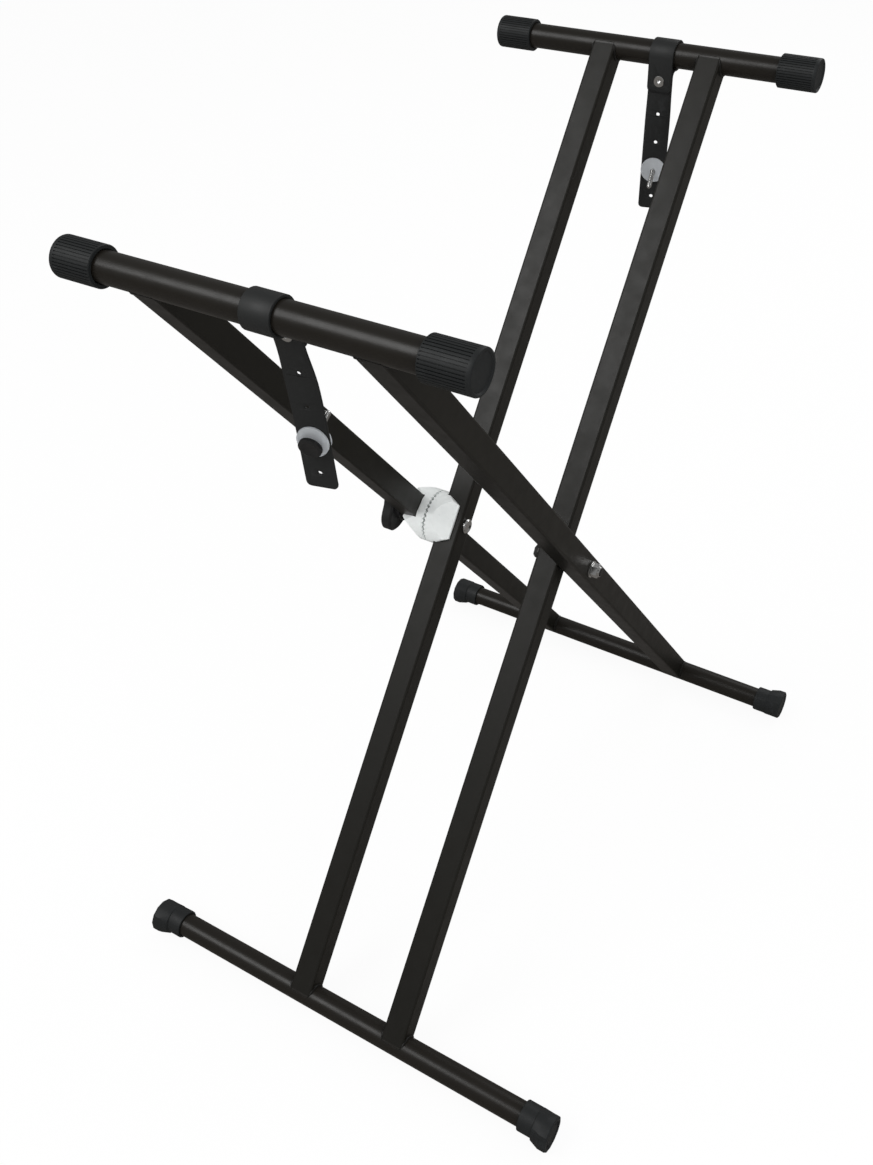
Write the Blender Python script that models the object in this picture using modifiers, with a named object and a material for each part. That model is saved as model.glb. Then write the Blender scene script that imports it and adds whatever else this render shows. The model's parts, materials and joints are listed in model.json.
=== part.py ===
"""Double-braced X keyboard stand.

Two welded frames of square tube scissor about one axis. The inner frame leans back and carries the
rear top bar, and the outer frame leans forward and carries the front one. X runs along the bars, Y
from the front to the rear and Z up. The origin is on the floor under the middle of the stand.
Lengths are in metres.
"""
import math
from dataclasses import dataclass

import bmesh
import bpy
from mathutils import Matrix, Vector

# Whole stand
ARM_LENGTH = 1.050  # along a square tube, between the centres of its two bars
PIVOT_REACH = 0.525  # from a foot bar's centre up the tube to the pivot axis
LEAN = math.radians(38.65)  # each frame's angle from upright, as the stand is set
GAP = 0.0003  # between pieces that touch

# Square tubes
TUBE_WIDTH = 0.025
TUBE_WALL = 0.0012
TUBE_CORNER = 0.0022
OUTER_TUBE_SPACING = 0.1916  # between the centres of the outer frame's tubes

# Round bars
BAR_RADIUS = 0.0125
BAR_WALL = 0.0015
TOP_BAR_LENGTH = 0.3440
FOOT_BAR_LENGTH = 0.4860
BAR_STEPS = 32

# Ribbed caps of the top bars
TOP_CAP_LENGTH = 0.0390
TOP_CAP_RADIUS = 0.0163
TOP_CAP_END_WALL = 0.0032
TOP_CAP_RIBS = 36
TOP_CAP_RIB_DEPTH = 0.0006
TOP_CAP_RIM = 0.0026
TOP_CAP_RIM_WIDTH = 0.0030
TOP_CAP_RECESS = 0.0007

# Levelling caps of the foot bars, whose outer half is thrown to one side
FOOT_CAP_LENGTH = 0.0340
FOOT_CAP_RADIUS = 0.0154
FOOT_CAP_SLEEVE = 0.0155  # length of the round inner half
FOOT_CAP_FLARE = 0.0105  # length over which the outer half widens
FOOT_CAP_REACH = 0.0174  # from the flared half's centre to each of its flats
FOOT_CAP_THROW = 0.0030
FOOT_CAP_END_WALL = 0.0045
FOOT_CAP_CHAMFER = 0.0009
FOOT_CAP_FLATS = 12
FOOT_CAP_GROOVE_OUT = 0.0134
FOOT_CAP_GROOVE_IN = 0.0106
FOOT_CAP_GROOVE_DEPTH = 0.0015

# Pivot fasteners
BOLT_RADIUS = 0.0040
BOLT_CLEARANCE = 0.0003
FASTENER_STEPS = 24
WASHER_RADIUS = 0.0087
WASHER_THICKNESS = 0.0016
SPACER_RADIUS = 0.0110
SPACER_THICKNESS = 0.0048
NUT_APOTHEM = 0.0065
NUT_HEIGHT = 0.0064
NUT_COLLAR_RADIUS = 0.0056
NUT_COLLAR_HEIGHT = 0.0024
PIVOT_HEAD_HEIGHT = 0.0042
BOLT_END_STANDOUT = 0.0010

# Toothed clutch between the two left tubes
CASTING_RADIUS = 0.0285
CASTING_DEPTH = 0.0099  # from the tube's side to the tips of the teeth
CASTING_RIM_START = 0.0015
CASTING_STEPS = 72
TOOTH_DEPTH = 0.0020
TOOTH_TIP_GAP = 0.0004
TOOTH_ROOT_RADIUS = 0.0150
SADDLE_LENGTH = 0.0365
SADDLE_WALL = 0.0027
SADDLE_REACH = 0.0180  # how far the saddle runs over the tube's front and back
CLUTCH_HEAD_RADIUS = 0.0080
CLUTCH_HEAD_HEIGHT = 0.0032
CLUTCH_HEAD_DISH = 0.0012
CLUTCH_HEAD_RIM = 0.0022
SPRING_RADIUS = 0.0078
SPRING_WIRE = 0.0014
SPRING_TURNS = 4
SPRING_POCKET_RADIUS = 0.0098
SPRING_POCKET_DEPTH = 0.0060

# Clamping hand knob
KNOB_NECK_RADIUS = 0.0165
KNOB_NECK_LENGTH = 0.0050
KNOB_GRIP_LENGTH = 0.0130
KNOB_GRIP_RADIUS = 0.0265
KNOB_LOBE_RISE = 0.0045
KNOB_LOBES = 3
KNOB_ROUNDING = 0.0022
KNOB_STEPS = 48
INSERT_RADIUS = 0.0068
INSERT_LENGTH = 0.0112

# Rubber straps
STRAP_WIDTH = 0.0260
STRAP_THICKNESS = 0.0025
STRAP_CORNER = 0.0040
STRAP_BEND_RADIUS = 0.0060
STRAP_FLAP_BELOW_EYELET = 0.0110
STRAP_FIRST_HOLE = 0.0350  # along the tail, from the eyelet
STRAP_HOLE_PITCH = 0.0295
STRAP_HOLE_COUNT = 4
STRAP_SCREW_HOLE = 2  # which hole the thumb screw is in, counted from nought
STRAP_TAIL_LENGTH = 0.1370  # from the eyelet to the tail's end
STRAP_HOLE_RADIUS = 0.0019
FRONT_STRAP_X = 0.0100
FRONT_EYELET_DROP = 0.0275  # below the bar's centre
FRONT_TAIL_INWARD = 0.0330  # where the tail ends, from the bar's centre
FRONT_TAIL_DROP = 0.1580
FRONT_TAIL_DRIFT = 0.0060  # along the bar
REAR_STRAP_X = 0.0155
REAR_EYELET_DROP = 0.0240
REAR_TAIL_INWARD = 0.0145
REAR_TAIL_DROP = 0.1600
REAR_TAIL_DRIFT = 0.0
EYELET_FLANGE_RADIUS = 0.0057
EYELET_FLANGE_THICKNESS = 0.0008
EYELET_BARREL_RADIUS = 0.0031
EYELET_BORE_RADIUS = 0.0018

# Thumb screws in the straps
SCREW_RADIUS = 0.0025
SCREW_LENGTH = 0.0350  # under the knob
SCREW_CLEARANCE = 0.0004
THUMB_KNOB_RADIUS = 0.0093
THUMB_KNOB_THICKNESS = 0.0045
THUMB_KNOB_SOCKET = 0.0030
SOFT_WASHER_RADIUS = 0.0130
SOFT_WASHER_THICKNESS = 0.0015
SOFT_WASHER_GAP = 0.0004

# Colour, roughness and metallic value of each finish
SATIN_BLACK = ((0.032, 0.030, 0.027), 0.42, 0.3)
BAR_BLACK = ((0.040, 0.036, 0.031), 0.36, 0.3)
RUBBER = ((0.040, 0.045, 0.049), 0.62, 0.0)
STRAP_RUBBER = ((0.030, 0.033, 0.034), 0.60, 0.0)
CAST_METAL = ((0.62, 0.62, 0.61), 0.38, 0.9)
BRIGHT_METAL = ((0.72, 0.72, 0.72), 0.25, 1.0)
BLACK_PLASTIC = ((0.018, 0.018, 0.018), 0.45, 0.0)
CLEAR_PLASTIC = ((0.62, 0.66, 0.68), 0.35, 0.0)
BRASS = ((0.66, 0.50, 0.24), 0.35, 1.0)

# Places that follow from the sizes above
TOP_REACH = ARM_LENGTH - PIVOT_REACH
PIVOT_HEIGHT = FOOT_CAP_REACH + PIVOT_REACH * math.cos(LEAN)
HOLE_RADIUS = BOLT_RADIUS + BOLT_CLEARANCE
HALF_TUBE = TUBE_WIDTH / 2
CLUTCH_STACK = 2 * (GAP + CASTING_DEPTH) + TOOTH_TIP_GAP
OUTER_LEFT_X = -OUTER_TUBE_SPACING / 2
OUTER_RIGHT_X = OUTER_TUBE_SPACING / 2
INNER_LEFT_X = OUTER_LEFT_X + TUBE_WIDTH + CLUTCH_STACK
INNER_RIGHT_X = OUTER_RIGHT_X - TUBE_WIDTH - SPACER_THICKNESS - 2 * GAP
TOP_CAP_SEAT = TOP_BAR_LENGTH / 2 + GAP + TOP_CAP_END_WALL - TOP_CAP_LENGTH
FOOT_CAP_SEAT = FOOT_BAR_LENGTH / 2 + GAP + FOOT_CAP_END_WALL - FOOT_CAP_LENGTH


@dataclass
class Frame:
    """One of the two welded frames; lean is +1 for a frame whose top is at the rear."""

    name: str
    lean: int
    tube_x: tuple
    cap_throws: tuple  # direction, front -1 or rear +1, in which the left and right foot caps are thrown


@dataclass
class StrapPlace:
    """How one strap hangs on its bar; inward is +1 where the middle of the stand lies towards +Y."""

    name: str
    frame: Frame
    inward: int
    x: float
    eyelet_drop: float
    loop_turn: float
    tail_end: tuple
    tail_end_angle: float
    side_drift: float
    twist: float
    screw_tilt: float


INNER = Frame("inner", 1, (INNER_LEFT_X, INNER_RIGHT_X), (-1, -1))
OUTER = Frame("outer", -1, (OUTER_LEFT_X, OUTER_RIGHT_X), (-1, 1))
FRONT_STRAP = StrapPlace("front", OUTER, 1, FRONT_STRAP_X, FRONT_EYELET_DROP, math.radians(13.5),
                         (FRONT_TAIL_INWARD, -FRONT_TAIL_DROP), math.radians(4.0), FRONT_TAIL_DRIFT,
                         math.radians(12.0), math.radians(12.0))
REAR_STRAP = StrapPlace("rear", INNER, -1, REAR_STRAP_X, REAR_EYELET_DROP, 0.0,
                        (REAR_TAIL_INWARD, -REAR_TAIL_DROP), math.radians(1.0), REAR_TAIL_DRIFT,
                        math.radians(-14.0), math.radians(-30.0))


def start_scene():
    """Empties the scene and makes the collections for the stand and for its cutters."""
    for old in list(bpy.data.objects):
        bpy.data.objects.remove(old, do_unlink=True)
    for name in ("keyboard_stand", "cutters"):
        collection = bpy.data.collections.new(name)
        bpy.context.scene.collection.children.link(collection)


def link(obj, finish=None):
    """Puts a piece in the stand's collection in its finish, or a cutter in the cutters' collection."""
    if finish is None:
        bpy.data.collections["cutters"].objects.link(obj)
        obj.hide_render = True
        obj.display_type = "WIRE"
        return obj
    bpy.data.collections["keyboard_stand"].objects.link(obj)
    colour, roughness, metallic = finish
    material = bpy.data.materials.new(obj.name + "_finish")
    material.use_nodes = True
    shader = material.node_tree.nodes["Principled BSDF"]
    shader.inputs["Base Color"].default_value = (*colour, 1.0)
    shader.inputs["Roughness"].default_value = roughness
    shader.inputs["Metallic"].default_value = metallic
    material.diffuse_color = (*colour, 1.0)
    obj.data.materials.append(material)
    return obj


def mesh_object(name, bm, finish=None):
    """Turns a bmesh into a linked object, smooth except at its sharp edges."""
    mesh = bpy.data.meshes.new(name)
    bmesh.ops.recalc_face_normals(bm, faces=bm.faces)
    bm.to_mesh(mesh)
    bm.free()
    mesh.shade_smooth()
    mesh.set_sharp_from_angle(angle=math.radians(35.0))
    return link(bpy.data.objects.new(name, mesh), finish)


def place(obj, location, z_axis=(0, 0, 1), x_axis=(1, 0, 0)):
    """Puts an object's origin at location and turns its Z and X axes to the given directions."""
    z = Vector(z_axis).normalized()
    x = Vector(x_axis)
    x = (x - z * x.dot(z)).normalized()
    turn = Matrix((x, z.cross(x), z)).transposed()
    obj.location = location
    obj.rotation_euler = turn.to_euler()
    return obj


def hang(obj, empty):
    """Makes a placed object follow an empty that stands on a joint's axis."""
    obj.parent = empty
    obj.location = obj.location - empty.location
    return obj


def joint_empty(name, location):
    """Adds an empty on a joint's axis."""
    empty = bpy.data.objects.new(name, None)
    empty.empty_display_size = 0.03
    empty.location = location
    bpy.data.collections["keyboard_stand"].objects.link(empty)
    return empty


def cut(obj, cutter):
    """Takes a cutter's shape out of a piece."""
    modifier = obj.modifiers.new("cut_" + cutter.name, "BOOLEAN")
    modifier.operation = "DIFFERENCE"
    modifier.solver = "EXACT"
    modifier.object = cutter
    return obj


def join(obj, addition):
    """Joins another solid to a piece, where both are one casting."""
    modifier = obj.modifiers.new("join_" + addition.name, "BOOLEAN")
    modifier.operation = "UNION"
    modifier.solver = "EXACT"
    modifier.object = addition
    return obj


def keep_inside(obj, bound):
    """Cuts a piece back to what lies inside another solid."""
    modifier = obj.modifiers.new("inside_" + bound.name, "BOOLEAN")
    modifier.operation = "INTERSECT"
    modifier.solver = "EXACT"
    modifier.object = bound
    return obj


def cylinder(name, radius, depth, finish=None, steps=FASTENER_STEPS):
    """A plain round bar centred on the origin, along Z."""
    bm = bmesh.new()
    bmesh.ops.create_cone(bm, cap_ends=True, segments=steps, radius1=radius, radius2=radius, depth=depth)
    return mesh_object(name, bm, finish)


def box(name, size, finish=None, corner=0.0):
    """A box centred on the origin, whose edges along Z are rounded where corner is given."""
    bm = bmesh.new()
    bmesh.ops.create_cube(bm, size=1.0)
    bmesh.ops.scale(bm, vec=size, verts=bm.verts)
    if corner:
        upright = [e for e in bm.edges if abs(e.verts[0].co.z - e.verts[1].co.z) > size[2] / 2]
        bmesh.ops.bevel(bm, geom=upright, offset=corner, segments=3, profile=0.5, affect="EDGES")
    return mesh_object(name, bm, finish)


def turned(name, profile, finish, steps=FASTENER_STEPS, closed=True):
    """A turned piece about Z. The profile runs down the outer side, and back up the bore if closed."""
    bm = bmesh.new()
    points = [bm.verts.new((radius, 0.0, z)) for radius, z in profile]
    for first, second in zip(points, points[1:]):
        bm.edges.new((first, second))
    if closed:
        bm.edges.new((points[-1], points[0]))
    mesh = bpy.data.meshes.new(name)
    bm.to_mesh(mesh)
    bm.free()
    obj = link(bpy.data.objects.new(name, mesh), finish)
    screw = obj.modifiers.new("turn", "SCREW")
    screw.axis = "Z"
    screw.angle = math.tau
    screw.steps = steps
    screw.render_steps = steps
    screw.use_merge_vertices = True
    screw.merge_threshold = 0.00001
    screw.use_smooth_shade = True
    return obj


def bored_ring(name, radius, bore, length, finish, steps=FASTENER_STEPS):
    """A plain ring, sleeve or washer from z = 0 to its length."""
    profile = [(radius, length), (radius, 0.0), (bore, 0.0), (bore, length)]
    return turned(name, profile, finish, steps)


def ring(count, z, radius, shift=0.0):
    """A loop of points round Z; radius is a length or a function of the angle, shift moves it along Y."""
    points = []
    for index in range(count):
        angle = math.tau * index / count
        reach = radius(angle) if callable(radius) else radius
        points.append(Vector((reach * math.cos(angle), shift + reach * math.sin(angle), z)))
    return points


def loft(name, rings, finish=None):
    """A closed solid through loops of equally many points, with flat ends."""
    bm = bmesh.new()
    loops = [[bm.verts.new(point) for point in loop] for loop in rings]
    for lower, upper in zip(loops, loops[1:]):
        for index in range(len(lower)):
            after = (index + 1) % len(lower)
            bm.faces.new((lower[index], lower[after], upper[after], upper[index]))
    bm.faces.new(list(reversed(loops[0])))
    bm.faces.new(loops[-1])
    return mesh_object(name, bm, finish)


def flat_sided(sides, apothem):
    """The radius of a regular outline at each angle, with a flat centred on the +X side."""
    def radius(angle):
        pitch = math.tau / sides
        return apothem / math.cos((angle + pitch / 2) % pitch - pitch / 2)
    return radius


def arm_direction(frame):
    """The unit vector up the tubes of a frame."""
    return Vector((0.0, frame.lean * math.sin(LEAN), math.cos(LEAN)))


def arm_point(frame, x, reach):
    """A point on a frame's tube plane, at a distance from the pivot axis up the tubes."""
    return Vector((x, 0.0, PIVOT_HEIGHT)) + arm_direction(frame) * reach


def bar_centre(frame, top):
    """The middle of a frame's top or foot bar."""
    return arm_point(frame, 0.0, TOP_REACH if top else -PIVOT_REACH)


def build_tubes(frame, follow, pivot_cutter):
    """The two square tubes of a frame, notched round its bars and drilled for the pivot bolts."""
    notches = []
    for top in (True, False):
        end = "top" if top else "foot"
        notch = cylinder(f"{frame.name}_{end}_notch", BAR_RADIUS + GAP, OUTER_TUBE_SPACING * 2, None, BAR_STEPS)
        place(notch, bar_centre(frame, top), (1, 0, 0), (0, 0, 1))
        notches.append(notch)
    middle = (TOP_REACH - PIVOT_REACH) / 2
    for side, x in zip(("left", "right"), frame.tube_x):
        tube = box(f"{frame.name}_tube_{side}", (TUBE_WIDTH, TUBE_WIDTH, ARM_LENGTH), SATIN_BLACK, TUBE_CORNER)
        inside = TUBE_WIDTH - 2 * TUBE_WALL
        bore = box(f"{frame.name}_{side}_bore", (inside, inside, ARM_LENGTH + TUBE_WIDTH), None,
                   TUBE_CORNER - TUBE_WALL)
        for solid in (tube, bore):
            place(solid, arm_point(frame, x, middle), arm_direction(frame))
        for cutter in (bore, *notches, pivot_cutter):
            cut(tube, cutter)
        hang(tube, follow)


def build_bars(frame, follow):
    """The round top bar and foot bar of a frame, both hollow."""
    for top, length in ((True, TOP_BAR_LENGTH), (False, FOOT_BAR_LENGTH)):
        name = f"{frame.name}_{'top' if top else 'foot'}_bar"
        bar = bored_ring(name, BAR_RADIUS, BAR_RADIUS - BAR_WALL, length, BAR_BLACK, BAR_STEPS)
        start = bar_centre(frame, top) - Vector((length / 2, 0, 0))
        hang(place(bar, start, (1, 0, 0), (0, 0, 1)), follow)


def bar_socket(name, depth, seat, direction):
    """The cutter for a cap's bore, from just outside its mouth to its depth."""
    slack = 0.002
    socket = cylinder(name, BAR_RADIUS + GAP, depth + slack, None, BAR_STEPS)
    return place(socket, seat + direction * (depth - slack) / 2, direction, (0, 0, 1))


def build_top_caps(frame, follow):
    """The ribbed rubber caps on the ends of a frame's top bar."""
    ribs = 2 * TOP_CAP_RIBS

    def ribbed(angle):
        crest = round(angle / math.tau * ribs) % 2 == 0
        return TOP_CAP_RADIUS if crest else TOP_CAP_RADIUS - TOP_CAP_RIB_DEPTH

    length = TOP_CAP_LENGTH
    rim = TOP_CAP_RADIUS - TOP_CAP_RIM_WIDTH
    soft = TOP_CAP_RIB_DEPTH
    for side, direction in (("left", Vector((-1, 0, 0))), ("right", Vector((1, 0, 0)))):
        name = f"{frame.name}_top_cap_{side}"
        cap = loft(name, [
            ring(ribs, 0.0, TOP_CAP_RADIUS - 2 * soft),
            ring(ribs, soft, ribbed),
            ring(ribs, length - TOP_CAP_RIM, ribbed),
            ring(ribs, length - TOP_CAP_RIM + soft, TOP_CAP_RADIUS),
            ring(ribs, length - 2 * soft, TOP_CAP_RADIUS),
            ring(ribs, length, TOP_CAP_RADIUS - 2 * soft),
            ring(ribs, length, rim),
            ring(ribs, length - TOP_CAP_RECESS, rim - soft),
        ], RUBBER)
        seat = bar_centre(frame, True) + direction * TOP_CAP_SEAT
        place(cap, seat, direction, (0, 0, 1))
        cut(cap, bar_socket(name + "_socket", length - TOP_CAP_END_WALL, seat, direction))
        hang(cap, follow)


def build_foot_caps(frame, follow):
    """The levelling caps, each with its origin on its foot bar's axis, about which it turns."""
    count = 2 * FOOT_CAP_FLATS
    length = FOOT_CAP_LENGTH
    wide = FOOT_CAP_REACH
    throw = FOOT_CAP_THROW
    flared = FOOT_CAP_SLEEVE + FOOT_CAP_FLARE
    step = (wide - FOOT_CAP_RADIUS) / 4
    sides = (("left", Vector((-1, 0, 0))), ("right", Vector((1, 0, 0))))
    for (side, direction), toward in zip(sides, frame.cap_throws):
        name = f"{frame.name}_foot_cap_{side}"
        cap = loft(name, [
            ring(count, 0.0, FOOT_CAP_RADIUS - FOOT_CAP_CHAMFER / 2),
            ring(count, FOOT_CAP_CHAMFER, FOOT_CAP_RADIUS),
            ring(count, FOOT_CAP_SLEEVE, FOOT_CAP_RADIUS),
            ring(count, FOOT_CAP_SLEEVE + step, flat_sided(FOOT_CAP_FLATS, FOOT_CAP_RADIUS + step), throw / 4),
            ring(count, flared, flat_sided(FOOT_CAP_FLATS, wide), throw),
            ring(count, length - FOOT_CAP_CHAMFER, flat_sided(FOOT_CAP_FLATS, wide), throw),
            ring(count, length, flat_sided(FOOT_CAP_FLATS, wide - FOOT_CAP_CHAMFER), throw),
            ring(count, length, FOOT_CAP_GROOVE_OUT, throw),
            ring(count, length - FOOT_CAP_GROOVE_DEPTH, FOOT_CAP_GROOVE_OUT - step, throw),
            ring(count, length - FOOT_CAP_GROOVE_DEPTH, FOOT_CAP_GROOVE_IN, throw),
            ring(count, length - FOOT_CAP_GROOVE_DEPTH / 3, FOOT_CAP_GROOVE_IN - step, throw),
        ], RUBBER)
        seat = bar_centre(frame, False) + direction * FOOT_CAP_SEAT
        up = Vector((0, 0, -1)) if toward * direction.x > 0 else Vector((0, 0, 1))
        place(cap, seat, direction, up)
        cut(cap, bar_socket(name + "_socket", length - FOOT_CAP_END_WALL, seat, direction))
        hang(cap, follow)


def build_casting(frame, x, toward, follow, pivot_cutter):
    """A toothed clutch half; toward is the X direction from its tube's side to the teeth."""
    name = f"{frame.name}_clutch_casting"
    bm = bmesh.new()
    bmesh.ops.create_cone(bm, cap_ends=True, segments=CASTING_STEPS, radius1=CASTING_RADIUS,
                          radius2=CASTING_RADIUS, depth=CASTING_DEPTH - CASTING_RIM_START)
    bmesh.ops.translate(bm, vec=(0, 0, (CASTING_DEPTH + CASTING_RIM_START) / 2), verts=bm.verts)
    bm.faces.ensure_lookup_table()
    crown = max(bm.faces, key=lambda face: face.calc_center_median().z)
    bmesh.ops.inset_region(bm, faces=[crown], thickness=CASTING_RADIUS - TOOTH_ROOT_RADIUS)
    for vert in bm.verts:
        tooth = round(math.atan2(vert.co.y, vert.co.x) / math.tau * CASTING_STEPS)
        if vert.co.z > CASTING_DEPTH - GAP and tooth % 2:
            vert.co.z -= TOOTH_DEPTH
    crown = max((face for face in bm.faces if len(face.verts) > 4), key=lambda face: face.calc_center_median().z)
    floor = bmesh.ops.extrude_face_region(bm, geom=[crown])
    low = [item for item in floor["geom"] if isinstance(item, bmesh.types.BMVert)]
    bmesh.ops.delete(bm, geom=[crown], context="FACES_ONLY")
    for vert in low:
        vert.co.z = CASTING_DEPTH - 2 * TOOTH_DEPTH
    casting = mesh_object(name, bm, CAST_METAL)

    saddle_top = CASTING_RIM_START + GAP
    saddle_width = TUBE_WIDTH + 2 * (GAP + SADDLE_WALL)
    low = (SADDLE_LENGTH / 2, saddle_width / 2, -SADDLE_REACH)
    high = (CASTING_RADIUS, CASTING_RADIUS, saddle_top)
    bm = bmesh.new()
    for along, across, height in (low, high):
        for turn_x in (-1, 1):
            for turn_y in (-1, 1):
                bm.verts.new((turn_x * along, turn_y * across, height))
    bmesh.ops.convex_hull(bm, input=bm.verts)
    saddle = mesh_object(name + "_saddle", bm)
    round_off = cylinder(name + "_saddle_round", CASTING_RADIUS, 2 * SADDLE_REACH + 2 * saddle_top, None,
                         CASTING_STEPS)

    seat = Vector((x + toward * (HALF_TUBE + GAP), 0.0, PIVOT_HEIGHT))
    channel = box(name + "_channel", (CASTING_RADIUS * 4, TUBE_WIDTH + 2 * GAP, SADDLE_REACH * 2))
    axis = Vector((toward, 0, 0))
    pocket = cylinder(name + "_pocket", SPRING_POCKET_RADIUS, 2 * SPRING_POCKET_DEPTH)
    place(casting, seat, axis, arm_direction(frame))
    place(saddle, seat, axis, arm_direction(frame))
    place(round_off, seat, axis, arm_direction(frame))
    keep_inside(saddle, round_off)
    place(channel, seat - axis * SADDLE_REACH, axis, arm_direction(frame))
    place(pocket, seat + axis * CASTING_DEPTH, axis, arm_direction(frame))
    join(casting, saddle)
    for cutter in (channel, pocket, pivot_cutter):
        cut(casting, cutter)
    hang(casting, follow)


def build_clutch(inner_follow, outer_follow, pivot_cutter):
    """The clutch between the left tubes: two castings, spring, through bolt and clamping knob."""
    build_casting(INNER, INNER_LEFT_X, -1, inner_follow, pivot_cutter)
    build_casting(OUTER, OUTER_LEFT_X, 1, outer_follow, pivot_cutter)

    washer_x = OUTER_LEFT_X - HALF_TUBE - GAP
    washer = bored_ring("clutch_washer", WASHER_RADIUS, HOLE_RADIUS, WASHER_THICKNESS, BRIGHT_METAL)
    hang(place(washer, (washer_x, 0, PIVOT_HEIGHT), (-1, 0, 0), (0, 0, 1)), outer_follow)

    knob_x = washer_x - WASHER_THICKNESS - GAP
    knob_length = KNOB_NECK_LENGTH + KNOB_GRIP_LENGTH

    def lobed(inset):
        return lambda angle: KNOB_GRIP_RADIUS - inset + KNOB_LOBE_RISE * math.cos(KNOB_LOBES * angle)

    knob = loft("clutch_knob", [
        ring(KNOB_STEPS, 0.0, KNOB_NECK_RADIUS),
        ring(KNOB_STEPS, KNOB_NECK_LENGTH, KNOB_NECK_RADIUS),
        ring(KNOB_STEPS, KNOB_NECK_LENGTH + GAP, lobed(KNOB_ROUNDING)),
        ring(KNOB_STEPS, KNOB_NECK_LENGTH + KNOB_ROUNDING, lobed(0.0)),
        ring(KNOB_STEPS, knob_length - KNOB_ROUNDING, lobed(0.0)),
        ring(KNOB_STEPS, knob_length - KNOB_ROUNDING * 0.3, lobed(KNOB_ROUNDING * 0.7)),
        ring(KNOB_STEPS, knob_length, lobed(KNOB_ROUNDING * 1.7)),
    ], BLACK_PLASTIC)
    lobe_angle = LEAN + math.pi / KNOB_LOBES
    lobe_up = Vector((0, math.cos(lobe_angle), math.sin(lobe_angle)))
    place(knob, (knob_x, 0, PIVOT_HEIGHT), (-1, 0, 0), lobe_up)
    socket_depth = INSERT_LENGTH + 2 * GAP
    socket = cylinder("clutch_knob_socket", INSERT_RADIUS + GAP, 2 * socket_depth)
    cut(knob, place(socket, (knob_x, 0, PIVOT_HEIGHT), (-1, 0, 0), (0, 0, 1)))
    insert = bored_ring("clutch_knob_insert", INSERT_RADIUS, HOLE_RADIUS, INSERT_LENGTH, BRASS)
    place(insert, (knob_x - GAP, 0, PIVOT_HEIGHT), (-1, 0, 0), (0, 0, 1))
    for piece in (knob, insert):
        hang(piece, outer_follow)

    head_x = INNER_LEFT_X + HALF_TUBE + GAP
    shank = head_x - (knob_x - socket_depth + GAP)
    dish_height = CLUTCH_HEAD_HEIGHT - CLUTCH_HEAD_DISH
    profile = [(0.0, dish_height), (BOLT_RADIUS, dish_height),
               (CLUTCH_HEAD_RADIUS - CLUTCH_HEAD_RIM, CLUTCH_HEAD_HEIGHT),
               (CLUTCH_HEAD_RADIUS - CLUTCH_HEAD_RIM / 2, CLUTCH_HEAD_HEIGHT),
               (CLUTCH_HEAD_RADIUS, CLUTCH_HEAD_HEIGHT / 2), (CLUTCH_HEAD_RADIUS, 0.0), (BOLT_RADIUS, 0.0),
               (BOLT_RADIUS, GAP - shank), (BOLT_RADIUS - GAP, -shank), (0.0, -shank)]
    bolt = turned("clutch_bolt", profile, BRIGHT_METAL, closed=False)
    hang(place(bolt, (head_x, 0, PIVOT_HEIGHT), (1, 0, 0), (0, 0, 1)), inner_follow)
    build_spring(inner_follow)


def build_spring(follow):
    """The spring in the castings' pockets that parts the teeth when the knob is slackened."""
    seam_x = (INNER_LEFT_X + OUTER_LEFT_X) / 2
    room = 2 * SPRING_POCKET_DEPTH + TOOTH_TIP_GAP
    travel = room - 2 * GAP - SPRING_WIRE
    per_turn = 10
    curve = bpy.data.curves.new("clutch_spring", "CURVE")
    curve.dimensions = "3D"
    curve.bevel_depth = SPRING_WIRE / 2
    curve.bevel_resolution = 1
    curve.resolution_u = 1
    curve.use_fill_caps = True
    spline = curve.splines.new("POLY")
    count = SPRING_TURNS * per_turn + 1
    spline.points.add(count - 1)
    for index in range(count):
        angle = math.tau * index / per_turn
        along = travel * (index / (count - 1) - 0.5)
        x = SPRING_RADIUS * math.cos(angle)
        y = SPRING_RADIUS * math.sin(angle)
        spline.points[index].co = (x, y, along, 1.0)
    spring = link(bpy.data.objects.new("clutch_spring", curve), BRIGHT_METAL)
    hang(place(spring, (seam_x, 0, PIVOT_HEIGHT), (1, 0, 0), (0, 0, 1)), follow)


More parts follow.
